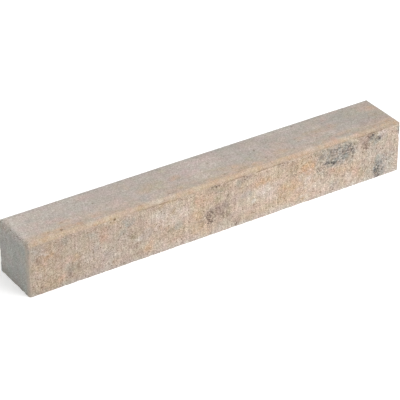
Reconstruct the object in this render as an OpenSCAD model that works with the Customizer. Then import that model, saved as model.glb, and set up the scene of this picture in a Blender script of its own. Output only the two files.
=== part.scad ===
// A long concrete walling block of square section.
// Cast in one piece, with a soft arris pressed all round the top face.
// The bottom bed lies on z = 0, the length runs along x, and the face side looks to -y.

/* [Block] */
// Length of the block, from end to end
block_length = 900; // [400:10:1200]
// Depth of the block, from the face side to the back
block_depth = 120; // [80:1:200]
// Height of the block, from the bottom bed to the top bed
block_height = 120; // [60:1:200]

/* [Edges] */
// How far the pressed arris reaches in over the top bed
arris_run = 12; // [8:0.5:20]
// How far the pressed arris comes down each side, no more than its run
arris_drop = 6; // [3:0.5:8]
// Radius of the four upright corners
corner_radius = 5; // [2:0.5:20]

/* [Hidden] */

concrete_colour = [0.75, 0.69, 0.63];

// How far each cutting shape runs past the faces that it cuts
cut_overrun = 4;

// The arris is an arc that leaves the top bed at a tangent and meets the side at the drop
arris_radius = (arris_run * arris_run + arris_drop * arris_drop) / (2 * arris_drop);

$fn = 96;

// The block seen from above: a rectangle with rounded corners
module plan_outline() {
    corner_x = block_length / 2 - corner_radius;
    corner_y = block_depth / 2 - corner_radius;
    square([block_length, 2 * corner_y], center = true);
    square([2 * corner_x, block_depth], center = true);
    for (side_x = [-1, 1], side_y = [-1, 1])
        translate([side_x * corner_x, side_y * corner_y])
            circle(r = corner_radius);
}

// Section of what the press takes off one top edge, with the start of the arc at the origin
module arris_waste() {
    difference() {
        translate([0, -arris_radius])
            square([arris_run + cut_overrun, arris_radius + cut_overrun]);
        translate([0, -arris_radius])
            circle(r = arris_radius);
    }
}

// The waste along one whole top edge, for the side that looks to +y
module edge_waste(edge_length, side_reach) {
    translate([0, side_reach - arris_run, block_height])
        rotate([90, 0, 90])
            linear_extrude(edge_length + 2 * cut_overrun, center = true)
                arris_waste();
}

module walling_block() {
    color(concrete_colour)
        difference() {
            linear_extrude(block_height)
                plan_outline();
            for (turn = [0, 180])
                rotate(turn)
                    edge_waste(block_length, block_depth / 2);
            for (turn = [90, 270])
                rotate(turn)
                    edge_waste(block_depth, block_length / 2);
        }
}

walling_block();
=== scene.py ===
"""Dresses the concrete walling block: cast relief, mottled pigments, floor, light and camera."""
import math

import bpy
import numpy as np
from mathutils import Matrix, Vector, noise


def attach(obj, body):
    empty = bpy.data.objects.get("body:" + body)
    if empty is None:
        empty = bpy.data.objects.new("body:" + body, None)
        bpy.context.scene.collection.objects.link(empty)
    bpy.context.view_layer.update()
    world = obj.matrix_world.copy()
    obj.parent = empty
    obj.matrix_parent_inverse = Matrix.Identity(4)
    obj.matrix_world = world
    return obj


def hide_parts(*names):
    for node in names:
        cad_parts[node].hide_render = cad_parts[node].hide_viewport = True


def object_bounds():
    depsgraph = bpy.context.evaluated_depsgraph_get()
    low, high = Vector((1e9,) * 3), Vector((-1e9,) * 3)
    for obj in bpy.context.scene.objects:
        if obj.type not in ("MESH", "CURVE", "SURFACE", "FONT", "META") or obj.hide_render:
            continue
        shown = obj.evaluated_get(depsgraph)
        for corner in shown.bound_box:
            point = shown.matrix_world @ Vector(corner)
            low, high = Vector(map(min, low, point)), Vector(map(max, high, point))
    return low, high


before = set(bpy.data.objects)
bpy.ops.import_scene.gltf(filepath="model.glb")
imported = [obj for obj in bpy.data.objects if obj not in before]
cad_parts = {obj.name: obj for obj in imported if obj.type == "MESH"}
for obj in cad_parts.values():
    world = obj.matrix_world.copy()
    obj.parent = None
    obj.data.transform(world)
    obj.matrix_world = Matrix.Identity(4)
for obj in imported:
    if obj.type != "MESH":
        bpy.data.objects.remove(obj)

CAD_LOW, CAD_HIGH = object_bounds()
LENGTH, DEPTH, HEIGHT = CAD_HIGH - CAD_LOW
HALF_LENGTH, HALF_DEPTH = LENGTH / 2, DEPTH / 2
MM = 0.001

# Edges of the solid, as in the part's source
ARRIS_RUN = 12 * MM
ARRIS_DROP = 6 * MM
ARRIS_RADIUS = (ARRIS_RUN**2 + ARRIS_DROP**2) / (2 * ARRIS_DROP)
CORNER_RADIUS = 5 * MM
WALL_HEIGHT = HEIGHT - ARRIS_DROP

# Lattice of the dressed block: equal steps over each stretch of an axis
EDGE_STEPS = 8
LENGTH_STEPS = 356
DEPTH_STEPS = 46
FOOT_ZONE, FOOT_STEPS = 3 * MM, 2
BROW_ZONE, BROW_STEPS = 6 * MM, 6
WALL_STEPS = 48
# Edges that turn by more degrees than this stay crisp
SHARP_ANGLE = 30

# Cast relief: depth, and noise as cycles per metre, octaves and seed
SWELL_DEPTH, SWELL_CLOUD = 0.35 * MM, (9, 2, 1)
GRAIN_DEPTH, GRAIN_CLOUD = 0.22 * MM, (150, 3, 2)
DRAG_DEPTH, DRAG_CLOUD = 0.25 * MM, ((210, 210, 14), 2, 4)
FLASH_DEPTH, FLASH_CLOUD = 0.8 * MM, (30, 2, 3)
CHIP_DEPTH, CHIP_CLOUD = 0.8 * MM, (70, 3, 5)
CREASE_DEPTH = 0.45 * MM
# Levels of the noise between which chips and the flash line come in
CHIP_LEVELS = (0.05, 0.55)
FLASH_LEVELS = (0.12, 0.5)
# How far one seed moves the noise, by axis
SEED_STEP = (7.31, 3.17, 5.73)
# Share of the drag marks on the ends, of the chips where an end meets its arris,
# and of the chance flash line on the face side
END_DRAG = 0.3
CREASE_CHIPS = 0.4
FACE_FLASH = 0.3

# Wear, as the distances from an edge over which it fades; the foot's band also sets painted shade low on the
# ends
CORNER_WEAR = (3 * MM, 9 * MM)
FOOT_WEAR_AND_SHADE = (1 * MM, 7 * MM)
CREASE_WEAR = (0, 6 * MM)

# Small pits all over, with radii and depths in millimetres
PIT_COUNT = 260
PIT_SEED = 11
PIT_RADII = (2.4, 4.6)
PIT_DEPTHS = (0.4, 1.3)
# Any pit: how softly its rim rounds, and the depth from which its painted shade is darkest
PIT_EDGE = 1.5
DARK_PIT = 2 * MM

# Pigment patches of the face side: along from the left end, down from the arris,
# half length, half height, all in millimetres, and strength
FACE_PATCHES = {
    "rose": [
        (27, 60, 10, 7, 0.25), (37, 42, 8, 14, 0.45), (70, 97, 10, 9, 0.4), (71, 4, 11, 6, 0.3),
        (88, 55, 13, 7, 0.35), (170, 30, 14, 16, 0.35), (272, 38, 15, 11, 0.5), (280, 82, 10, 9, 0.3),
        (296, 50, 14, 10, 0.25), (309, 54, 14, 10, 0.35), (320, 50, 14, 6, 0.35),
        (330, 92, 30, 12, 0.22), (350, 30, 16, 10, 0.15), (393, 22, 14, 18, 0.45), (436, 24, 7, 5, 0.3),
        (483, 75, 13, 7, 0.2), (524, 3, 8, 4, 0.3), (525, 86, 20, 8, 0.2), (530, 22, 16, 10, 0.2),
        (560, 78, 16, 8, 0.25), (628, 92, 20, 10, 0.3), (636, 44, 8, 10, 0.25), (648, 48, 12, 12, 0.3),
        (672, 15, 14, 7, 0.45), (684, 88, 14, 14, 0.3), (726, 62, 11, 9, 0.3), (781, 74, 12, 15, 0.4),
        (808, 10, 8, 7, 0.3), (812, 70, 6, 9, 0.3), (872, 36, 10, 8, 0.3),
    ],
    "lilac": [
        (22, 14, 14, 10, 0.3), (69, 62, 12, 9, 0.2), (150, 62, 18, 12, 0.35), (176, 80, 22, 16, 0.45),
        (176, 100, 16, 11, 0.5), (188, 98, 60, 18, 0.34), (215, 50, 14, 18, 0.3),
        (215, 95, 24, 12, 0.3), (270, 58, 13, 11, 0.2), (308, 22, 12, 9, 0.35), (362, 96, 10, 12, 0.25),
        (432, 80, 12, 8, 0.25), (490, 44, 18, 18, 0.3), (518, 88, 16, 10, 0.22), (555, 60, 16, 9, 0.35),
        (732, 100, 12, 10, 0.3), (852, 71, 9, 8, 0.4), (856, 13, 12, 9, 0.66), (864, 74, 20, 20, 0.44),
    ],
    "ochre": [
        (25, 58, 13, 13, 0.42), (36, 60, 48, 60, 0.16), (40, 104, 34, 10, 0.25), (48, 26, 9, 13, 0.55),
        (60, 38, 10, 8, 0.25), (104, 58, 10, 8, 0.3), (192, 5, 10, 5, 0.25), (194, 99, 9, 7, 0.25),
        (275, 92, 11, 11, 0.38), (290, 50, 8, 10, 0.3), (296, 50, 14, 10, 0.42), (310, 54, 16, 9, 0.4),
        (320, 6, 24, 9, 0.4), (330, 48, 56, 50, 0.12), (332, 27, 7, 6, 0.3), (338, 58, 14, 8, 0.25),
        (388, 58, 14, 14, 0.45), (388, 84, 14, 12, 0.45), (390, 25, 13, 20, 0.2),
        (402, 42, 12, 10, 0.25), (404, 90, 10, 8, 0.35), (407, 106, 12, 8, 0.25),
        (414, 22, 14, 12, 0.25), (461, 10, 130, 12, 0.15), (496, 24, 9, 11, 0.4), (510, 99, 16, 9, 0.3),
        (545, 30, 22, 12, 0.42), (564, 38, 12, 9, 0.25), (580, 32, 14, 8, 0.2), (590, 86, 14, 9, 0.35),
        (595, 70, 14, 16, 0.5), (614, 66, 22, 14, 0.5), (625, 22, 18, 12, 0.35),
        (625, 88, 20, 12, 0.45), (645, 93, 18, 15, 0.72), (647, 13, 12, 10, 0.35),
        (650, 60, 36, 60, 0.28), (655, 57, 12, 10, 0.3), (660, 30, 20, 14, 0.5),
        (664, 50, 14, 18, 0.42), (745, 68, 14, 8, 0.3), (797, 88, 10, 12, 0.3), (825, 46, 8, 8, 0.28),
        (872, 36, 12, 9, 0.2),
    ],
    "orange": [
        (38, 40, 6, 10, 0.15), (68, 95, 6, 6, 0.15), (169, 25, 9, 16, 0.2), (394, 20, 12, 16, 0.15),
        (548, 28, 16, 10, 0.15), (598, 71, 12, 12, 0.48), (655, 58, 10, 9, 0.18),
        (662, 36, 16, 14, 0.42), (725, 62, 10, 8, 0.22), (781, 74, 9, 13, 0.12),
    ],
    "olive": [
        (11, 52, 8, 8, 0.3), (36, 104, 34, 10, 0.2), (48, 8, 12, 8, 0.25), (57, 82, 15, 15, 0.25),
        (106, 80, 12, 9, 0.3), (238, 55, 14, 10, 0.3), (240, 95, 18, 12, 0.25), (325, 6, 24, 8, 0.15),
        (328, 70, 12, 8, 0.3), (343, 64, 9, 11, 0.25), (378, 25, 6, 22, 0.35), (430, 9, 22, 6, 0.4),
        (438, 36, 10, 8, 0.45), (453, 10, 12, 9, 0.45), (458, 72, 12, 10, 0.3), (486, 18, 9, 9, 0.2),
        (505, 62, 12, 8, 0.15), (562, 92, 9, 8, 0.4), (582, 18, 14, 10, 0.2), (612, 28, 8, 12, 0.3),
        (612, 70, 16, 10, 0.25), (660, 62, 11, 12, 0.2), (682, 9, 9, 11, 0.5), (694, 14, 6, 16, 0.3),
        (785, 8, 9, 7, 0.5), (800, 92, 8, 14, 0.3), (834, 26, 14, 8, 0.3), (861, 97, 10, 16, 0.12),
    ],
    "pale": [
        (22, 67, 12, 12, 0.3), (33, 26, 9, 2.2, 0.85), (112, 36, 9, 8, 0.2), (132, 66, 14, 12, 0.3),
        (178, 56, 16, 10, 0.2), (178, 96, 20, 10, 0.2), (200, 80, 46, 24, 0.15), (247, 65, 12, 6, 0.5),
        (298, 30, 20, 15, 0.55), (298, 54, 14, 12, 0.4), (298, 98, 14, 16, 0.35),
        (306, 28, 14, 10, 0.4), (322, 46, 24, 11, 0.5), (325, 12, 22, 8, 0.3), (345, 104, 40, 8, 0.2),
        (354, 38, 18, 18, 0.5), (407, 21, 6, 4, 0.3), (438, 2, 6, 2, 0.3), (439, 107, 16, 7, 0.35),
        (494, 76, 12, 12, 0.3), (508, 64, 12, 7, 0.25), (524, 68, 3.6, 3.6, 2.2),
        (552, 50, 20, 12, 0.65), (570, 108, 22, 8, 0.3), (578, 42, 16, 9, 0.28), (578, 68, 22, 14, 0.3),
        (599, 73, 12, 11, 0.24), (645, 82, 12, 10, 0.38), (648, 50, 12, 12, 0.35),
        (648, 102, 18, 11, 0.52), (650, 92, 34, 18, 0.28), (660, 62, 12, 13, 0.62),
        (665, 48, 10, 10, 0.48), (674, 62, 10, 10, 0.3), (676, 50, 14, 12, 0.25),
        (676, 84, 24, 16, 0.35), (696, 58, 8, 8, 0.28), (708, 92, 14, 14, 0.28), (766, 87, 9, 10, 0.4),
        (778, 102, 12, 9, 0.28), (790, 42, 9, 10, 0.35), (821, 40, 8, 9, 0.4), (830, 51, 9, 8, 0.35),
        (850, 8, 7, 5, 0.3), (865, 98, 13, 17, 0.74),
    ],
    "grey": [
        (14, 18, 13, 14, 0.32), (84, 12, 10, 10, 0.25), (90, 75, 10, 9, 0.25), (140, 20, 14, 9, 0.3),
        (152, 44, 8, 14, 0.25), (176, 72, 10, 7, 0.2), (176, 100, 16, 10, 0.12), (214, 36, 8, 7, 0.35),
        (226, 17, 14, 10, 0.55), (270, 58, 13, 11, 0.3), (342, 64, 9, 11, 0.4), (442, 18, 8, 4, 0.4),
        (450, 97, 18, 10, 0.24), (487, 16, 9, 8, 0.3), (508, 48, 12, 8, 0.45), (689, 34, 8, 9, 0.35),
        (694, 20, 7, 18, 0.45), (694, 52, 10, 12, 0.3), (728, 92, 14, 12, 0.3), (740, 25, 44, 23, 0.58),
        (742, 46, 14, 5, 0.4), (768, 48, 12, 9, 0.33), (834, 20, 18, 12, 0.5), (848, 86, 18, 31, 0.68),
        (850, 75, 50, 60, 0.3), (884, 98, 14, 14, 0.15), (896, 12, 6, 14, 0.6),
    ],
    "mauve": [
        (20, 106, 30, 8, 0.14), (24, 20, 26, 20, 0.12), (90, 89, 9, 10, 0.5), (256, 28, 8, 16, 0.2),
        (256, 70, 10, 10, 0.25), (436, 57, 16, 10, 0.6), (440, 12, 70, 12, 0.14),
        (452, 55, 14, 13, 0.5), (462, 26, 12, 14, 0.28), (467, 86, 10, 10, 0.35),
        (471, 53, 10, 14, 0.3), (480, 96, 11, 14, 0.25), (510, 8, 22, 9, 0.36), (520, 30, 26, 12, 0.15),
        (525, 106, 22, 8, 0.2), (612, 12, 18, 12, 0.2), (700, 76, 9, 7, 0.35), (714, 66, 12, 9, 0.3),
        (804, 11, 14, 9, 0.6),
    ],
    "umber": [
        (21, 38, 5, 11, 0.12), (90, 90, 7, 8, 0.15), (105, 79, 12, 8, 0.22), (120, 76, 7, 6, 0.15),
        (195, 58, 6, 7, 0.14), (213, 38, 5, 5, 0.2), (236, 52, 12, 9, 0.2), (238, 78, 12, 9, 0.2),
        (250, 100, 8, 8, 0.18), (322, 70, 10, 6, 0.25), (392, 76, 10, 12, 0.2), (408, 66, 6, 9, 0.14),
        (410, 90, 9, 8, 0.25), (418, 68, 13, 13, 0.5), (418, 82, 13, 4, 0.5), (421, 66, 6, 6, 0.5),
        (430, 10, 20, 6, 0.12), (432, 3, 14, 3, 0.3), (440, 56, 11, 9, 0.36), (451, 72, 12, 11, 0.38),
        (453, 9, 8, 7, 0.16), (461, 33, 4, 8, 0.3), (482, 107, 3, 4, 0.4), (504, 6, 6, 6, 0.38),
        (595, 5, 9, 5, 0.3), (627, 28, 9, 16, 0.28), (682, 9, 8, 10, 0.2), (689, 35, 7, 7, 0.2),
        (690, 46, 7, 6, 0.38), (706, 57, 7, 5, 0.35), (737, 76, 3, 5, 0.3), (746, 49, 12, 3, 0.2),
        (753, 82, 4, 3, 0.45), (753, 96, 4, 6, 0.45), (763, 24, 17, 17, 0.12), (777, 38, 3, 8, 0.4),
        (808, 29, 9, 12, 0.4), (808, 72, 5, 13, 0.48), (824, 6, 9, 8, 0.6), (842, 17, 11, 4, 0.3),
        (867, 62, 4, 5, 0.3),
    ],
    "charcoal": [
        (690, 46, 6, 5, 0.2), (697, 12, 8, 12, 0.2), (716, 40, 15, 8, 0.42), (740, 10, 30, 3.5, 0.26),
        (742, 22, 38, 20, 0.24), (742, 37, 11, 7, 0.42), (761, 20, 15, 12, 0.33),
        (772, 22, 5, 14, 0.37), (825, 8, 7, 7, 0.38), (840, 82, 5, 8, 0.3), (841, 95, 6, 18, 0.5),
        (842, 17, 10, 4, 0.35), (842, 108, 7, 7, 0.42), (854, 88, 3.5, 19, 0.28), (897, 14, 4, 10, 0.3),
    ],
}

# Pigment patches of the top bed: along, in from the face side, half sizes and strength
TOP_PATCHES = {
    "rose": [
        (50, 50, 28, 18, 0.28), (100, 48, 14, 12, 0.3), (135, 40, 26, 14, 0.2), (155, 24, 14, 7, 0.25),
        (157, 10, 10, 6, 0.4), (175, 97, 18, 8, 0.2), (227, 11, 9, 9, 0.4), (235, 40, 28, 14, 0.3),
        (270, 84, 7, 10, 0.3), (350, 13, 10, 7, 0.3), (373, 60, 13, 10, 0.4), (415, 54, 22, 11, 0.35),
        (470, 80, 22, 34, 0.15), (475, 10, 10, 6, 0.35), (530, 9, 10, 6, 0.4), (585, 42, 22, 16, 0.25),
        (622, 48, 22, 18, 0.3), (645, 72, 8, 10, 0.25), (722, 47, 34, 10, 0.26), (733, 13, 9, 9, 0.6),
        (760, 68, 18, 8, 0.3), (762, 96, 16, 9, 0.25), (785, 9, 12, 7, 0.4), (802, 111, 13, 7, 0.4),
        (855, 16, 12, 7, 0.35), (865, 32, 22, 8, 0.2), (866, 82, 16, 11, 0.4), (870, 98, 18, 12, 0.25),
    ],
    "lilac": [
        (45, 72, 20, 12, 0.25), (115, 88, 18, 14, 0.35), (212, 90, 30, 16, 0.35), (281, 20, 14, 9, 0.4),
        (312, 36, 14, 10, 0.4), (380, 84, 12, 8, 0.35), (410, 76, 28, 22, 0.6), (440, 80, 18, 14, 0.6),
        (480, 96, 18, 18, 0.4), (578, 102, 26, 16, 0.25), (648, 73, 10, 12, 0.5),
        (730, 90, 16, 10, 0.35), (732, 74, 12, 9, 0.35), (795, 38, 16, 9, 0.3), (800, 55, 22, 10, 0.3),
    ],
    "ochre": [
        (75, 16, 55, 9, 0.3), (102, 36, 16, 8, 0.28), (140, 38, 24, 16, 0.08), (165, 30, 20, 8, 0.2),
        (190, 46, 14, 8, 0.2), (205, 15, 12, 6, 0.25), (292, 51, 16, 10, 0.25), (310, 60, 20, 14, 0.15),
        (337, 20, 16, 8, 0.2), (362, 25, 9, 8, 0.25), (371, 56, 16, 8, 0.15), (390, 36, 80, 12, 0.12),
        (411, 5, 14, 6, 0.28), (430, 14, 30, 9, 0.25), (475, 36, 20, 10, 0.22), (505, 27, 20, 12, 0.35),
        (512, 16, 14, 8, 0.22), (615, 32, 20, 8, 0.25), (678, 55, 14, 9, 0.2), (712, 13, 10, 7, 0.3),
        (712, 61, 30, 8, 0.2), (755, 58, 30, 8, 0.22), (768, 27, 20, 7, 0.2), (880, 78, 14, 12, 0.25),
    ],
    "orange": [
        (124, 17, 8, 6, 0.35), (375, 62, 10, 7, 0.2), (512, 14, 10, 8, 0.3), (545, 16, 10, 8, 0.3),
        (733, 12, 6, 7, 0.2), (858, 10, 24, 8, 0.25), (875, 12, 22, 9, 0.4),
    ],
    "olive": [
        (103, 27, 10, 6, 0.35), (232, 82, 56, 34, 0.1), (252, 97, 9, 10, 0.35), (322, 56, 26, 18, 0.4),
        (352, 94, 34, 22, 0.1), (363, 95, 9, 8, 0.4), (450, 45, 11, 7, 0.4), (510, 18, 12, 7, 0.4),
        (539, 42, 9, 9, 0.3), (736, 72, 9, 10, 0.28), (800, 15, 14, 9, 0.5), (829, 17, 8, 6, 0.5),
        (835, 82, 26, 18, 0.3), (875, 55, 20, 14, 0.3),
    ],
    "pale": [
        (50, 80, 36, 26, 0.16), (104, 80, 18, 12, 0.22), (146, 6, 9, 5, 0.3), (187, 7, 12, 5, 0.18),
        (290, 7, 16, 6, 0.35), (320, 6, 16, 5, 0.2), (395, 6, 16, 5, 0.2), (420, 38, 18, 11, 0.34),
        (420, 100, 30, 14, 0.2), (450, 70, 34, 26, 0.2), (515, 8, 10, 5, 0.2), (573, 76, 18, 14, 0.2),
        (660, 104, 60, 14, 0.15), (670, 9, 14, 6, 0.36), (692, 37, 16, 9, 0.2), (698, 18, 6, 5, 0.2),
        (715, 8, 10, 5, 0.15), (731, 78, 14, 10, 0.18), (741, 43, 14, 9, 0.2), (764, 8, 16, 6, 0.25),
    ],
    "mauve": [
        (126, 19, 14, 8, 0.25), (199, 64, 18, 12, 0.14), (204, 19, 18, 8, 0.23), (232, 82, 56, 34, 0.1),
        (326, 31, 18, 9, 0.14), (334, 18, 18, 8, 0.2), (352, 94, 34, 22, 0.11), (361, 59, 14, 9, 0.13),
        (397, 17, 16, 7, 0.13), (508, 18, 9, 6, 0.35), (518, 17, 18, 8, 0.22), (590, 93, 18, 12, 0.13),
        (755, 21, 16, 8, 0.2), (756, 57, 14, 8, 0.2), (762, 66, 14, 8, 0.13), (790, 12, 14, 7, 0.14),
        (807, 66, 20, 12, 0.13), (840, 10, 66, 14, 0.12), (852, 34, 34, 13, 0.24),
    ],
    "grey": [
        (46, 79, 10, 8, 0.3), (150, 12, 26, 7, 0.2), (280, 25, 14, 10, 0.4), (330, 16, 30, 8, 0.1),
        (376, 52, 7, 8, 0.25), (395, 17, 26, 7, 0.25), (450, 117, 460, 13, 0.3), (690, 22, 18, 7, 0.3),
        (691, 8, 15, 8, 0.26), (760, 17, 44, 8, 0.35), (805, 74, 56, 30, 0.28), (830, 84, 26, 18, 0.25),
        (870, 8, 40, 12, 0.3),
    ],
}

# Soft edge of a patch, in half sizes, and how far its outline wavers, in millimetres
PATCH_EDGE = (0.5, 1.6)
WAVER = 4
WAVER_ALONG = (60, 3, 21)
WAVER_ACROSS = (60, 3, 22)

# Chance pigment: how ready each one is to show without a patch, and the share of it on each side
STRAY_PIGMENT = {
    "rose": 0.4,
    "lilac": 0.35,
    "ochre": 0.35,
    "orange": 0.16,
    "olive": 0.35,
    "pale": 0.35,
    "grey": 0.4,
    "mauve": 0.2,
    "umber": 0.18,
    "charcoal": 0.06,
}
STRAY_SHARE = {"face": 0.2, "back": 0.45, "left": 0.2, "right": 0.2, "top": 0.15, "bottom": 0.4}
STRAY_CLOUD = (26, 2)
STRAY_SEED = 30
STRAY_LEVELS = (0, 0.5)
# The back carries the same patches, upside down and moved along by this many millimetres
BACK_SHIFT = 380

# Pits that show in the photo. Top bed: along, in from the face side, radius, depth in millimetres
TOP_PITS = [
    (84, 16, 4.0, 3.0),
    (184, 67, 3.6, 1.8),
    (569, 67, 3.6, 2.0),
    (466, 20, 3.4, 1.6),
    (668, 46, 3.0, 1.2),
]
# Face side: along, down from the arris, radius, depth in millimetres
FACE_PITS = [
    (195, 1, 4.2, 2.8),
    (526, 78, 3.4, 2.2),
    (20, 33, 3.4, 0.9),
    (20, 45, 3.2, 0.8),
    (235, 55, 4.0, 1.8),
    (434, 5, 3.6, 2.0),
    (441, 4, 3.2, 1.8),
]

# Open flash line under the face side's arris, cast as a groove and darkened with painted shade:
# stretches along, and how it opens and closes at their ends and at its upper and lower edge, in millimetres
FLASH_STRETCHES = [(259, 319), (462, 504), (532, 597), (779, 854)]
FLASH_START = (-6, 4)
FLASH_END = (-4, 6)
FLASH_UPPER = (-0.4, 0.6)
FLASH_LOWER = (1.6, 3.4)

# Bands of tone, as the distances from an edge over which each one fades or grows, and their shares
FACE_BAND = (6 * MM, 17 * MM)
FACE_FRINGE, FRINGE_SHARE = (14 * MM, 42 * MM), 0.46
# LIP is a band of painted shade along the top's front edge, over the open line
LIP = (0, 5 * MM)
RIM_START = (2 * MM, 11 * MM)
RIM_END = (16 * MM, 24 * MM)
RIM_TRAIL, TRAIL_SHARE = (18 * MM, 70 * MM), 0.4
END_GREY, END_GREY_SHARE = (0, 11 * MM), 0.55
END_BROW = (3 * MM, 13 * MM)
HEM, HEM_SHARE = (0, 16 * MM), 0.7
CORNER_SHARE = 0.7
# Tone of the ends, from its share at the face side and under the arris to all of it further off
OFF_FACE, SHARE_AT_FACE = (3 * MM, 17 * MM), 0.35
OFF_BROW, SHARE_AT_BROW = (0, 16 * MM), 0.68

# Colours as they look in plain light
BASE_LEFT = (190, 173, 157)
BASE_RIGHT = (212, 193, 174)
BED_LEFT = (196, 187, 180)
BED_RIGHT = (177, 169, 161)
END_COLOUR = (175, 176, 171)
ARRIS_COLOUR = (205, 184, 159)
ARRIS_RUST = (202, 171, 140)
LEFT_ARRIS_COLOUR = (209, 200, 192)
CORNER_COLOUR = (200, 184, 169)
FOOT_LEFT = (186, 180, 174)
FOOT_RIGHT = (208, 201, 194)
PIGMENTS = {
    "rose": (209, 180, 166),
    "lilac": (197, 181, 176),
    "ochre": (204, 170, 132),
    "orange": (212, 162, 116),
    "olive": (184, 172, 145),
    "pale": (228, 215, 205),
    "grey": (167, 168, 163),
    "mauve": (160, 143, 136),
    "umber": (130, 113, 101),
    "charcoal": (86, 85, 85),
}
# Pigments that lie as specks, not as clouds
SPECKLED = ("umber", "charcoal")
ROSY_TINT = (1.018, 0.986, 1.002, 1)
GREEN_TINT = (0.986, 1.012, 0.992, 1)
FLOOR_COLOUR = (243, 243, 243)

# Noises of the colour: cycles per metre, detail, roughness
MOTTLE_NOISE = (24, 3, 0.6)
HUE_NOISE = (48, 2, 0.5)
BLOTCH_NOISE = (90, 4, 0.65)
GRAIN_NOISE = (190, 5, 0.75)
GRIT_NOISE = (520, 1, 0.5)
RUST_NOISE = (55, 4, 0.65)
# Noises drawn out along an axis: cycles per metre by axis, and the noise of what is scaled so
STREAK_SCALE, STREAK_NOISE = (230, 230, 12), (1, 2, 0.6)
TROWEL_SCALE, TROWEL_NOISE = (9, 170, 170), (1, 3, 0.65)
# How a pigment is broken up: noise, levels of it, and strength at these levels
SPECKS = ((240, 3, 0.6), (0.42, 0.58), (0.0, 2.1))
CLOUDS = ((80, 1.5, 0.5), (0.3, 0.7), (0.55, 1.45))
# How far the noise moves from one pigment to the next, and the most that a pigment covers
PIGMENT_STEP = (1.7, 0.9, 1.3)
MOST_PIGMENT = 0.95

# Middle of a noise, and the levels of it between which tones change
NOISE_MIDDLE = 0.5
MIDDLE_LEVELS = (0.35, 0.65)
RUST_LEVELS = (0.42, 0.68)
# Drift of the bare tone along the block, in metres from its middle, and how far mottle moves it
FACE_DRIFT, FACE_MOTTLE = (-0.47, 0.08), (-0.2, 0.2)
BED_DRIFT, BED_MOTTLE = (-0.5, 0.5), (-0.15, 0.15)
# Share of the arris tones, by mottle
PATCHY = (0.75, 1.0)

# Strength of the grain: all over, then what the ends and the long sides add, growing to the right,
# and what multiplies it on the upright corners and where an end meets its arris
BASE_GRAIN = 0.51
END_GRAIN = 0.42
SIDE_STRETCH, SIDE_GRAIN = (0.05, 0.42), (0.39, 0.72)
CORNER_GRAIN = 0.5
BROW_GRAIN = 1.9
# Strength of the drag marks: on all walls, more on the long sides, by mottle
WALL_DRAG = 0.08
SIDE_DRAG = 0.86
DRAG_MOTTLE = (0.6, 1.2)
# Shades that follow a noise: how far the noise swings, the darkest and the lightest shade
DRAG_SHADE = (0.2, 0.9, 1.07)
TROWEL_SHADE = (0.2, 0.96, 1.035)
GRAIN_SHADE = (0.25, 0.77, 1.21)
GRIT_SHADE = (0.25, 0.64, 1.34)
BLOTCH_SHADE = (0.2, 0.965, 1.03)
# Green and blue swing more than red, so that grain looks neutral
GREEN_SWING = 1.12
BLUE_SWING = 1.24
# Dots for pores, painted as shade, and small stones: cells per metre, edge of a dot, which cells are chosen,
# shade
DOT_SCALE = 170
DOT_EDGE = (0.42, 0.14)
PORE_CHOICE, PORE_PAINTED_SHADE = (0.8, 0.86), 0.58
STONE_CHOICE, STONE_SHADE = (0.12, 0.06), 1.22
# Painted shade in the open line, in the pits, along the top's front edge, where it darkens to the right, and
# at the ends' foot; the ends' brow is paler
FLASH_PAINTED_SHADE = 0.72
PIT_PAINTED_SHADE = 0.44
LIP_STRETCH, LIP_PAINTED_SHADES = (-0.2, 0.35), (0.955, 0.912)
END_BROW_SHADE = 1.07
END_FOOT_PAINTED_SHADE = 0.93
# Fine bump, roughness by grain, and gloss
GRAIN_BUMP = 0.6
STREAK_BUMP = 0.3
BUMP_STRENGTH = 0.6
BUMP_DISTANCE = 1.2 * MM
ROUGH_LEVELS, ROUGHNESS = (0.2, 0.8), (0.95, 0.82)
SPECULAR = 0.3

# Camera, from the outline in the photograph: degrees, metres, and the focal length in its pixels
CAMERA_AZIMUTH = -32.955
CAMERA_ELEVATION = 31.477
CAMERA_DISTANCE = 4.2103
CAMERA_AIM = (-0.0170, 0.0006, 0.0479)
FOCAL_PIXELS = 2055.4
PHOTO_PIXELS = 400
SENSOR_WIDTH = 36

# Floor and light
FLOOR_SIZE = 24
FLOOR_LIFT = 0.36
LAMP_PLACE = (1.42, -2.28, 3.35)
LAMP_SIZE = 2.6
LAMP_POWER = 92
SKY_LEVEL = 0.62


def smooth(low, high, value):
    share = np.clip((value - low) / (high - low), 0, 1)
    return share * share * (3 - 2 * share)


def fade(band, distance):
    """1 up to the start of a band, falling to 0 at its end."""
    return 1 - smooth(*band, distance)


def grow(start, band, distance):
    """A starting share up to the start of a band, rising to 1 at its end."""
    return start + (1 - start) * smooth(*band, distance)


def stations(start, stretches):
    """Places along an axis, through stretches of (length, number of equal steps)."""
    places = [start]
    for length, steps in stretches:
        last = places[-1]
        places.extend(last + length * (step + 1) / steps for step in range(steps))
    return np.array(places)


def shell(counts):
    """Lattice places on the surface of a box of points, and the quads between them."""
    on_surface = np.ones(counts, bool)
    on_surface[1:-1, 1:-1, 1:-1] = False
    number = np.full(counts, -1)
    number[on_surface] = np.arange(on_surface.sum())

    def quads(grid):
        corners = [grid[:-1, :-1], grid[1:, :-1], grid[1:, 1:], grid[:-1, 1:]]
        return np.stack(corners, -1).reshape(-1, 4)

    faces = [
        quads(number[:, :, -1]),
        quads(number[:, :, 0])[:, ::-1],
        quads(number[:, 0, :]),
        quads(number[:, -1, :])[:, ::-1],
        quads(number[0])[:, ::-1],
        quads(number[-1]),
    ]
    return np.argwhere(on_surface), np.concatenate(faces)


def top_height(inset):
    """Height of the top over a point that lies inset from a side, on the arris or past it."""
    reach = np.clip(ARRIS_RUN - inset, 0, ARRIS_RUN)
    return HEIGHT - ARRIS_RADIUS + np.sqrt(ARRIS_RADIUS**2 - reach**2)


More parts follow.
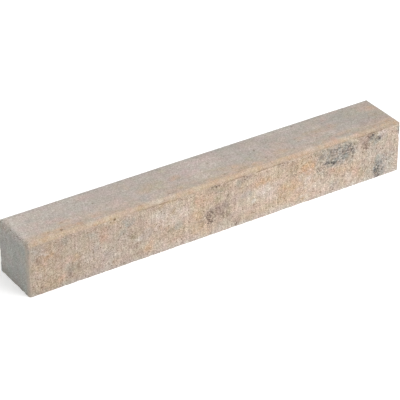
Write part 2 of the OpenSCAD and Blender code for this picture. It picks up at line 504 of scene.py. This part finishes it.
def round_corners(x, y):
    """Moves plan points of the corner squares onto quarter discs."""
    past_x = np.abs(x) - (HALF_LENGTH - CORNER_RADIUS)
    past_y = np.abs(y) - (HALF_DEPTH - CORNER_RADIUS)
    in_corner = (past_x > 0) & (past_y > 0)
    span = np.hypot(past_x, past_y)
    pull = np.where(in_corner, np.maximum(past_x, past_y) / np.where(in_corner, span, 1), 1)
    new_x = np.where(in_corner, np.sign(x) * (HALF_LENGTH - CORNER_RADIUS + past_x * pull), x)
    new_y = np.where(in_corner, np.sign(y) * (HALF_DEPTH - CORNER_RADIUS + past_y * pull), y)
    return new_x, new_y


def block_sides(place):
    """For each side of the block, and some groups of sides, which lattice places lie on it."""
    last = place.max(0)
    sides = {
        "top": place[:, 2] == last[2],
        "bottom": place[:, 2] == 0,
        "face": place[:, 1] == 0,
        "back": place[:, 1] == last[1],
        "left": place[:, 0] == 0,
        "right": place[:, 0] == last[0],
    }
    sides["ends"] = sides["left"] | sides["right"]
    sides["long"] = sides["face"] | sides["back"]
    sides["wall"] = sides["ends"] | sides["long"]
    return sides


def block_shape():
    """Points and quads of the block with plain faces, and the sides that each point lies on."""
    middle_length = LENGTH - 2 * ARRIS_RUN
    middle_depth = DEPTH - 2 * ARRIS_RUN
    middle_wall = WALL_HEIGHT - FOOT_ZONE - BROW_ZONE
    edge = (ARRIS_RUN, EDGE_STEPS)
    xs = stations(-HALF_LENGTH, [edge, (middle_length, LENGTH_STEPS), edge])
    ys = stations(-HALF_DEPTH, [edge, (middle_depth, DEPTH_STEPS), edge])
    zs = stations(0, [(FOOT_ZONE, FOOT_STEPS), (middle_wall, WALL_STEPS), (BROW_ZONE, BROW_STEPS)])
    place, quads = shell((len(xs), len(ys), len(zs)))
    x, y = round_corners(xs[place[:, 0]], ys[place[:, 1]])
    rise = np.minimum(top_height(HALF_LENGTH - np.abs(x)), top_height(HALF_DEPTH - np.abs(y)))
    z = zs[place[:, 2]] / WALL_HEIGHT * rise
    return np.stack([x, y, z], -1), quads, block_sides(place)


def cloud(points, scale, octaves, seed):
    """Smooth noise from about -1 to 1 at each point. scale is cycles per metre, on all axes or by axis."""
    moved = points * np.array(scale) + seed * np.array(SEED_STEP)
    return np.array([noise.fractal(place, 1.0, 2.0, octaves) for place in moved.tolist()])


def dent(points, centre, radius, depth):
    """Depth of a round pit at each point."""
    share = np.linalg.norm(points - centre, axis=1) / radius
    return depth * np.clip(1 - share**2, 0, 1) ** PIT_EDGE


def on_face(along_mm, down_mm):
    return np.array([along_mm * MM - HALF_LENGTH, -HALF_DEPTH, WALL_HEIGHT - down_mm * MM])


def on_top(along_mm, inset_mm):
    return np.array([along_mm * MM - HALF_LENGTH, -HALF_DEPTH + inset_mm * MM, HEIGHT])


def pits(points):
    """Depth of all the pits: those that the photo shows, and small ones all over."""
    depth = np.zeros(len(points))
    for along, inset, radius, deep in TOP_PITS:
        depth = np.maximum(depth, dent(points, on_top(along, inset), radius * MM, deep * MM))
    for along, down, radius, deep in FACE_PITS:
        depth = np.maximum(depth, dent(points, on_face(along, down), radius * MM, deep * MM))
    chance = np.random.default_rng(PIT_SEED)
    for index in chance.choice(len(points), PIT_COUNT, replace=False):
        radius = chance.uniform(*PIT_RADII) * MM
        deep = chance.uniform(*PIT_DEPTHS) * MM
        depth = np.maximum(depth, dent(points, points[index], radius, deep))
    return depth


def flash_line(points, sides):
    """How open the line is, from 0 to 1, where the press meets the mould under a long arris."""
    along = (points[:, 0] + HALF_LENGTH) / MM
    opened = np.zeros(len(points))
    for start, end in FLASH_STRETCHES:
        opened = np.maximum(opened, smooth(*FLASH_START, along - start) * fade(FLASH_END, along - end))
    chance = smooth(*FLASH_LEVELS, cloud(points, *FLASH_CLOUD))
    on_back = np.where(sides["back"], chance, 0)
    opened = np.where(sides["face"], np.maximum(opened, FACE_FLASH * chance), on_back)
    down = (WALL_HEIGHT - points[:, 2]) / MM
    return opened * smooth(*FLASH_UPPER, down) * fade(FLASH_LOWER, down)


def from_end(points):
    return HALF_LENGTH - np.abs(points[:, 0])


def from_corner(points, sides):
    """Distance along a wall from its nearest upright corner."""
    return np.where(sides["long"], from_end(points), HALF_DEPTH - np.abs(points[:, 1]))


def from_crease(points):
    """Distance from the line where an end meets its arris."""
    return np.hypot(from_end(points), points[:, 2] - WALL_HEIGHT)


def wear_and_shade_masks(points, sides):
    """Masks of the open line and of wear on the walls' edges, which also set the painted shade in the line
    and at the ends' foot.
    """
    masks = {
        "flash": flash_line(points, sides),
        "corner": fade(CORNER_WEAR, from_corner(points, sides)),
        "foot": fade(FOOT_WEAR_AND_SHADE, points[:, 2]),
    }
    return {name: np.where(sides["wall"], mask, 0) for name, mask in masks.items()}


def relief(points, sides, wear_and_shade, pit):
    """Depth of the cast surface below the plain block. The bottom never stands proud."""
    crease = fade(CREASE_WEAR, from_crease(points))
    chipped = np.max([wear_and_shade["corner"], wear_and_shade["foot"], CREASE_CHIPS * crease], axis=0)
    dragged = np.where(sides["ends"], END_DRAG, 1) * sides["wall"]
    depth = (
        SWELL_DEPTH * cloud(points, *SWELL_CLOUD)
        + GRAIN_DEPTH * cloud(points, *GRAIN_CLOUD)
        + DRAG_DEPTH * dragged * cloud(points, *DRAG_CLOUD)
        + FLASH_DEPTH * wear_and_shade["flash"]
        + CHIP_DEPTH * chipped * smooth(*CHIP_LEVELS, cloud(points, *CHIP_CLOUD))
        + CREASE_DEPTH * crease
        + pit
    )
    return np.where(sides["bottom"], np.maximum(depth, 0), depth)


def tone_masks(points, sides):
    """Masks of the bare tones and of painted shade: bands along the top's edges, the beds, the ends and the
    walls.
    """
    top, ends = sides["top"], sides["ends"]
    from_face = points[:, 1] + HALF_DEPTH
    from_left = points[:, 0] + HALF_LENGTH
    band = np.maximum(fade(FACE_BAND, from_face), FRINGE_SHARE * fade(FACE_FRINGE, from_face))
    rim = np.maximum(fade(RIM_END, from_left), TRAIL_SHARE * fade(RIM_TRAIL, from_left))
    end_tone = grow(SHARE_AT_FACE, OFF_FACE, from_face)
    end_tone = end_tone * grow(SHARE_AT_BROW, OFF_BROW, WALL_HEIGHT - points[:, 2])
    return {
        "face_arris": np.where(top, band, 0),
        # Painted shade along the top's front edge, over the open line
        "painted_lip_shade": np.where(top, fade(LIP, from_face), 0),
        "left_arris": np.where(top, rim * smooth(*RIM_START, from_left), 0),
        "end_grey": np.where(top, END_GREY_SHARE * fade(END_GREY, from_end(points)), 0),
        "end_brow": np.where(top | ends, fade(END_BROW, from_crease(points)), 0),
        "bed": top | sides["bottom"],
        "ends": np.where(ends & ~top, end_tone, 0),
        "wall": sides["wall"] & ~top,
        "long_side": sides["long"] & ~top,
        "hem": np.where(sides["wall"], fade(HEM, points[:, 2]), 0),
    }


def patch_masks(points, sides):
    """A mask for each pigment: placed patches on the long sides and the top, a trace all over."""
    waver_across = WAVER * cloud(points, *WAVER_ACROSS)
    along = (points[:, 0] + HALF_LENGTH) / MM + WAVER * cloud(points, *WAVER_ALONG)
    down = (WALL_HEIGHT - points[:, 2]) / MM + waver_across
    inset = (points[:, 1] + HALF_DEPTH) / MM + waver_across
    half = HALF_LENGTH / MM
    stray_share = np.max([share * sides[side] for side, share in STRAY_SHARE.items()], axis=0)

    def patched(side, across, patches, shift=0):
        mask = np.zeros(len(points))
        for a, c, half_a, half_c, strength in patches:
            off = (along + shift - a + half) % (2 * half) - half
            far = np.hypot(off / half_a, (across - c) / half_c)
            mask = np.maximum(mask, strength * fade(PATCH_EDGE, far))
        return np.where(side, mask, 0)

    masks = {}
    for order, (pigment, stray) in enumerate(STRAY_PIGMENT.items()):
        face = patched(sides["face"], down, FACE_PATCHES[pigment])
        back = patched(sides["back"], WALL_HEIGHT / MM - down, FACE_PATCHES[pigment], BACK_SHIFT)
        top = patched(sides["top"], inset, TOP_PATCHES.get(pigment, []))
        chance = smooth(*STRAY_LEVELS, cloud(points, *STRAY_CLOUD, STRAY_SEED + order))
        masks[pigment] = np.max([face, back, top, stray * stray_share * chance], axis=0)
    return masks


def store(mesh, name, values):
    layer = mesh.attributes.new(name, "FLOAT", "POINT")
    layer.data.foreach_set("value", np.asarray(values, np.float32))


def block_mesh():
    points, quads, sides = block_shape()
    mesh = bpy.data.meshes.new("dressed_block")
    mesh.from_pydata(points.tolist(), [], quads.tolist())
    mesh.polygons.foreach_set("use_smooth", [True] * len(quads))
    mesh.set_sharp_from_angle(angle=math.radians(SHARP_ANGLE))
    normals = np.empty(len(points) * 3)
    mesh.vertices.foreach_get("normal", normals)

    wear_and_shade = wear_and_shade_masks(points, sides)
    pit = pits(points)
    # The pits are dents, and the same depth also darkens them with painted shade
    pit_shade_mask = {"pit": np.clip(pit / DARK_PIT, 0, 1)}
    for masks in (tone_masks(points, sides), wear_and_shade, pit_shade_mask, patch_masks(points, sides)):
        for name, mask in masks.items():
            store(mesh, name, mask)

    depth = relief(points, sides, wear_and_shade, pit)
    moved = points - normals.reshape(-1, 3) * depth[:, None]
    mesh.vertices.foreach_set("co", moved.ravel())
    mesh.update()
    return mesh


def linear(colour):
    """A colour of 0 to 255 as it looks (sRGB), as the renderer's linear values."""
    shares = np.array(colour) / 255
    return (*np.where(shares <= 0.04045, shares / 12.92, ((shares + 0.055) / 1.055) ** 2.4), 1)


class Graph:
    """Short calls for the nodes of one material or world."""

    def __init__(self, owner):
        self.tree = owner.node_tree
        self.tree.nodes.clear()

    def node(self, kind, sockets, **settings):
        made = self.tree.nodes.new(kind)
        for name, value in settings.items():
            setattr(made, name, value)
        for name, value in sockets.items():
            if isinstance(value, bpy.types.NodeSocket):
                self.tree.links.new(value, made.inputs[name])
            else:
                made.inputs[name].default_value = value
        return made

    def attribute(self, name):
        return self.node("ShaderNodeAttribute", {}, attribute_name=name).outputs["Fac"]

    def math(self, operation, a, b):
        return self.node("ShaderNodeMath", {0: a, 1: b}, operation=operation).outputs[0]

    def add(self, a, b):
        return self.math("ADD", a, b)

    def times(self, a, b):
        return self.math("MULTIPLY", a, b)

    def span(self, value, low, high, to_low=0.0, to_high=1.0):
        sockets = {"Value": value, "From Min": low, "From Max": high, "To Min": to_low, "To Max": to_high}
        return self.node("ShaderNodeMapRange", sockets, interpolation_type="SMOOTHSTEP").outputs[0]

    def toward(self, mask, value):
        """1 where the mask is 0, and the value where it is 1."""
        return self.span(mask, 0, 1, 1.0, value)

    def noise(self, where, scale, detail, roughness):
        sockets = {"Vector": where, "Scale": scale, "Detail": detail, "Roughness": roughness}
        return self.node("ShaderNodeTexNoise", sockets).outputs["Fac"]

    def scaled(self, where, scale):
        return self.node("ShaderNodeVectorMath", {0: where, 1: scale}, operation="MULTIPLY").outputs[0]

    def moved(self, where, step):
        return self.node("ShaderNodeVectorMath", {0: where, 1: step}, operation="ADD").outputs[0]

    def mix(self, share, a, b, blend="MIX"):
        made = self.node("ShaderNodeMix", {0: share, 6: a, 7: b}, data_type="RGBA", blend_type=blend)
        return made.outputs[2]

    def seen(self):
        """1 for rays from the camera, straight or by way of gloss or glass, and 0 for the light itself."""
        path = self.node("ShaderNodeLightPath", {}).outputs
        straight = self.math("MAXIMUM", path["Is Camera Ray"], path["Is Glossy Ray"])
        return self.math("MAXIMUM", straight, path["Is Transmission Ray"])

    def shade(self, colour, value):
        """The colour times a value that is about 1."""
        green = self.add(self.times(value, GREEN_SWING), 1 - GREEN_SWING)
        blue = self.add(self.times(value, BLUE_SWING), 1 - BLUE_SWING)
        grey = self.node("ShaderNodeCombineColor", {0: value, 1: green, 2: blue}).outputs[0]
        return self.mix(1.0, colour, grey, "MULTIPLY")

    def swing(self, colour, texture, strength, shades):
        """The colour, darker and lighter as a noise goes, by its strength at each place."""
        reach, dark, light = shades
        value = self.times(self.add(texture, -NOISE_MIDDLE), strength)
        return self.shade(colour, self.span(value, -reach, reach, dark, light))


def bare_concrete(g, where, along, mottle):
    """Colour before pigment: greyer to the left and on the beds and ends, warm on the face arris."""
    patchy = g.span(mottle, *MIDDLE_LEVELS, *PATCHY)
    drift = g.add(g.span(along, *FACE_DRIFT), g.span(mottle, *MIDDLE_LEVELS, *FACE_MOTTLE))
    bed_drift = g.add(g.span(along, *BED_DRIFT), g.span(mottle, *MIDDLE_LEVELS, *BED_MOTTLE))
    rusty = g.span(g.noise(where, *RUST_NOISE), *RUST_LEVELS)
    bed = g.mix(bed_drift, linear(BED_LEFT), linear(BED_RIGHT))
    arris = g.mix(rusty, linear(ARRIS_COLOUR), linear(ARRIS_RUST))
    foot = g.mix(drift, linear(FOOT_LEFT), linear(FOOT_RIGHT))
    hem = g.times(g.attribute("hem"), g.times(g.attribute("long_side"), HEM_SHARE))
    colour = g.mix(drift, linear(BASE_LEFT), linear(BASE_RIGHT))
    colour = g.mix(g.times(g.attribute("corner"), CORNER_SHARE), colour, linear(CORNER_COLOUR))
    colour = g.mix(g.attribute("bed"), colour, bed)
    colour = g.mix(g.attribute("ends"), colour, linear(END_COLOUR))
    colour = g.mix(g.times(g.attribute("left_arris"), patchy), colour, linear(LEFT_ARRIS_COLOUR))
    colour = g.mix(g.times(g.attribute("face_arris"), patchy), colour, arris)
    colour = g.mix(g.times(g.attribute("end_grey"), patchy), colour, linear(END_COLOUR))
    return g.mix(hem, colour, foot)


def pigmented(g, where, colour):
    """The colour with all pigments, each broken up by a noise of its own."""
    for order, (pigment, paint) in enumerate(PIGMENTS.items()):
        place = g.moved(where, tuple(order * step for step in PIGMENT_STEP))
        texture, levels, strengths = SPECKS if pigment in SPECKLED else CLOUDS
        broken = g.span(g.noise(place, *texture), *levels, *strengths)
        share = g.math("MINIMUM", g.times(g.attribute(pigment), broken), MOST_PIGMENT)
        colour = g.mix(share, colour, linear(paint))
    return colour


def grain_strength(g, along, long_side, ends):
    """Strength of the grain: strongest on the long sides, to the right, and on the ends' brows."""
    side = g.times(long_side, g.span(along, *SIDE_STRETCH, *SIDE_GRAIN))
    strength = g.add(side, g.add(g.times(ends, END_GRAIN), BASE_GRAIN))
    strength = g.times(strength, g.toward(g.attribute("corner"), CORNER_GRAIN))
    return g.times(strength, g.toward(g.attribute("end_brow"), BROW_GRAIN))


def drag_strength(g, mottle, long_side):
    """Strength of the upright drag marks: strong on the long sides, faint on the ends."""
    dragged = g.times(g.attribute("wall"), g.add(g.times(long_side, SIDE_DRAG), WALL_DRAG))
    return g.times(dragged, g.span(mottle, *MIDDLE_LEVELS, *DRAG_MOTTLE))


def pores_and_stones(g, where, strength, colour):
    """The colour with pale stones and with pores as dots of painted shade, in a few chosen cells."""
    cells = g.node("ShaderNodeTexVoronoi", {"Vector": where, "Scale": DOT_SCALE, "Randomness": 1.0})
    chosen = g.node("ShaderNodeSeparateColor", {0: cells.outputs["Color"]}).outputs[0]
    dot = g.times(g.span(cells.outputs["Distance"], *DOT_EDGE), strength)
    pore = g.times(dot, g.span(chosen, *PORE_CHOICE))
    stone = g.times(dot, g.span(chosen, *STONE_CHOICE))
    colour = g.shade(colour, g.toward(pore, PORE_PAINTED_SHADE))
    return g.shade(colour, g.toward(stone, STONE_SHADE))


def edge_shades(g, along, ends, colour):
    """The colour with painted shade in the open line, the pits, the top's front edge and the ends' foot,
    paler on the ends' brow.
    """
    end_brow = g.times(g.attribute("end_brow"), ends)
    painted_foot_shade = g.times(g.attribute("foot"), ends)
    lip_shade = g.span(along, *LIP_STRETCH, *LIP_PAINTED_SHADES)
    colour = g.shade(colour, g.toward(g.attribute("flash"), FLASH_PAINTED_SHADE))
    colour = g.shade(colour, g.toward(g.attribute("pit"), PIT_PAINTED_SHADE))
    colour = g.shade(colour, g.toward(g.attribute("painted_lip_shade"), lip_shade))
    colour = g.shade(colour, g.toward(end_brow, END_BROW_SHADE))
    return g.shade(colour, g.toward(painted_foot_shade, END_FOOT_PAINTED_SHADE))


def rough_surface(g, colour, grain, streak, long_side):
    """Ends the material: the colour on a dull surface with the bump of grain and drag marks."""
    height = g.add(g.times(grain, GRAIN_BUMP), g.times(streak, g.times(long_side, STREAK_BUMP)))
    sockets = {"Height": height, "Strength": BUMP_STRENGTH, "Distance": BUMP_DISTANCE}
    bump = g.node("ShaderNodeBump", sockets).outputs[0]
    rough = g.span(grain, *ROUGH_LEVELS, *ROUGHNESS)
    sockets = {"Base Color": colour, "Roughness": rough, "Normal": bump, "Specular IOR Level": SPECULAR}
    shader = g.node("ShaderNodeBsdfPrincipled", sockets)
    g.node("ShaderNodeOutputMaterial", {"Surface": shader.outputs[0]})


def concrete():
    material = bpy.data.materials.new("concrete")
    material.use_nodes = True
    g = Graph(material)
    where = g.node("ShaderNodeTexCoord", {}).outputs["Object"]
    along = g.node("ShaderNodeSeparateXYZ", {"Vector": where}).outputs["X"]
    long_side, ends = g.attribute("long_side"), g.attribute("ends")
    mottle = g.noise(where, *MOTTLE_NOISE)
    hue = g.noise(where, *HUE_NOISE)
    blotch = g.noise(where, *BLOTCH_NOISE)
    grain = g.noise(where, *GRAIN_NOISE)
    grit = g.noise(where, *GRIT_NOISE)
    streak = g.noise(g.scaled(where, STREAK_SCALE), *STREAK_NOISE)
    trowel = g.noise(g.scaled(where, TROWEL_SCALE), *TROWEL_NOISE)

    colour = pigmented(g, where, bare_concrete(g, where, along, mottle))
    tint = g.mix(g.span(hue, *MIDDLE_LEVELS), ROSY_TINT, GREEN_TINT)
    colour = g.mix(1.0, colour, tint, "MULTIPLY")
    strength = grain_strength(g, along, long_side, ends)
    colour = g.swing(colour, streak, drag_strength(g, mottle, long_side), DRAG_SHADE)
    colour = g.swing(colour, trowel, g.attribute("bed"), TROWEL_SHADE)
    colour = g.swing(colour, grain, strength, GRAIN_SHADE)
    colour = g.swing(colour, grit, strength, GRIT_SHADE)
    colour = g.swing(colour, blotch, strength, BLOTCH_SHADE)
    colour = pores_and_stones(g, where, strength, colour)
    colour = edge_shades(g, along, ends, colour)
    rough_surface(g, colour, grain, streak, long_side)
    return material


def floor_paint():
    """White as the camera sees it, with the block's shadow kept."""
    material = bpy.data.materials.new("studio_floor")
    material.use_nodes = True
    g = Graph(material)
    paint = g.node("ShaderNodeBsdfDiffuse", {"Color": linear(FLOOR_COLOUR)})
    lift = g.node("ShaderNodeEmission", {"Strength": g.times(g.seen(), FLOOR_LIFT)})
    both = g.node("ShaderNodeAddShader", {0: paint.outputs[0], 1: lift.outputs[0]})
    g.node("ShaderNodeOutputMaterial", {"Surface": both.outputs[0]})
    return material


def add_object(name, data):
    made = bpy.data.objects.new(name, data)
    bpy.context.scene.collection.objects.link(made)
    return made


def add_block():
    block = add_object("dressed_block", block_mesh())
    block.data.materials.append(concrete())
    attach(block, "root")
    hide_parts("walling_block")


def add_floor():
    mesh = bpy.data.meshes.new("studio_floor")
    half = FLOOR_SIZE / 2
    corners = [(-half, -half, 0), (half, -half, 0), (half, half, 0), (-half, half, 0)]
    mesh.from_pydata(corners, [], [(0, 1, 2, 3)])
    mesh.materials.append(floor_paint())
    add_object("studio_floor", mesh)


def add_key_light():
    data = bpy.data.lights.new("key_light", "AREA")
    data.size = LAMP_SIZE
    data.energy = LAMP_POWER
    lamp = add_object("key_light", data)
    lamp.location = LAMP_PLACE
    ray = Vector((0, 0, HEIGHT / 2)) - lamp.location
    lamp.rotation_euler = ray.to_track_quat("-Z", "Y").to_euler()


def add_sky():
    """An even soft light all round, white where the camera sees it."""
    world = bpy.data.worlds.new("studio")
    world.use_nodes = True
    g = Graph(world)
    level = g.span(g.seen(), 0, 1, SKY_LEVEL, 1.0)
    sky = g.node("ShaderNodeBackground", {"Color": (1, 1, 1, 1), "Strength": level})
    g.node("ShaderNodeOutputWorld", {"Surface": sky.outputs[0]})
    bpy.context.scene.world = world


def add_camera():
    data = bpy.data.cameras.new("camera")
    data.sensor_width = SENSOR_WIDTH
    data.lens = FOCAL_PIXELS / PHOTO_PIXELS * SENSOR_WIDTH
    camera = add_object("camera", data)
    turn = math.radians(CAMERA_AZIMUTH)
    rise = math.radians(CAMERA_ELEVATION)
    level = math.cos(rise)
    back = Vector((math.sin(turn) * level, -math.cos(turn) * level, math.sin(rise)))
    camera.location = Vector(CAMERA_AIM) + back * CAMERA_DISTANCE
    camera.rotation_euler = back.to_track_quat("Z", "Y").to_euler()
    bpy.context.scene.camera = camera


add_camera()
add_block()
add_floor()
add_key_light()
add_sky()
bpy.context.scene.view_settings.view_transform = "Standard"
